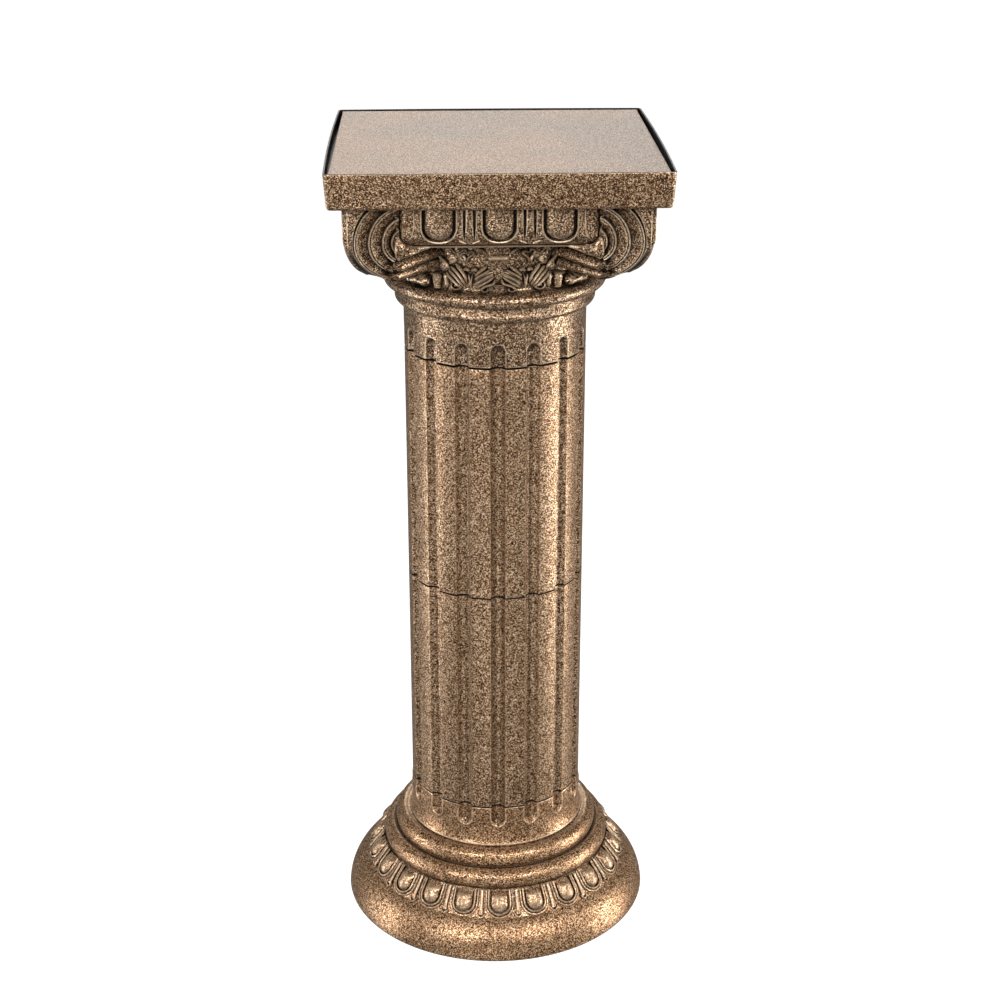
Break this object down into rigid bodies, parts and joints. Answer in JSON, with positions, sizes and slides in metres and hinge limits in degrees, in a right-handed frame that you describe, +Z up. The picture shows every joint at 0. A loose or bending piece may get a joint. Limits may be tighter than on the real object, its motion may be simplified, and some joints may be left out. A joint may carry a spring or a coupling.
{
  "type": "moulded pedestal column with ionic capital",
  "caption": "Fluted pedestal column with a flared round base, corner-volute capital and a square tray top.",
  "frame": {"origin": "centre of the foot, on the floor it stands on", "axes": "+Z up along the column, -Y towards the front side of the square top, +X to its right"},
  "size_m": [0.3523, 0.3524, 0.9],
  "materials": {
    "bronze_base": "speckled bronze spray over moulded plastic, satin, the lightest of the bronzes",
    "bronze_shaft": "coarsely speckled bronze spray over moulded plastic, satin, darker in the hollows",
    "bronze_capital": "speckled bronze spray over moulded plastic, darkened in the recesses and rubbed bright on the edges",
    "bronze_tray": "speckled bronze spray over moulded plastic, satin",
    "panel_tan": "fine pinkish tan speckle, softly mottled, matt"
  },
  "bodies": {
    "root": {"base": "bronze_base", "shaft_lower": "bronze_shaft", "shaft_upper": "bronze_shaft", "capital": "bronze_capital", "tray": "bronze_tray", "top_panel": "panel_tan"}
  },
  "joints": []
}
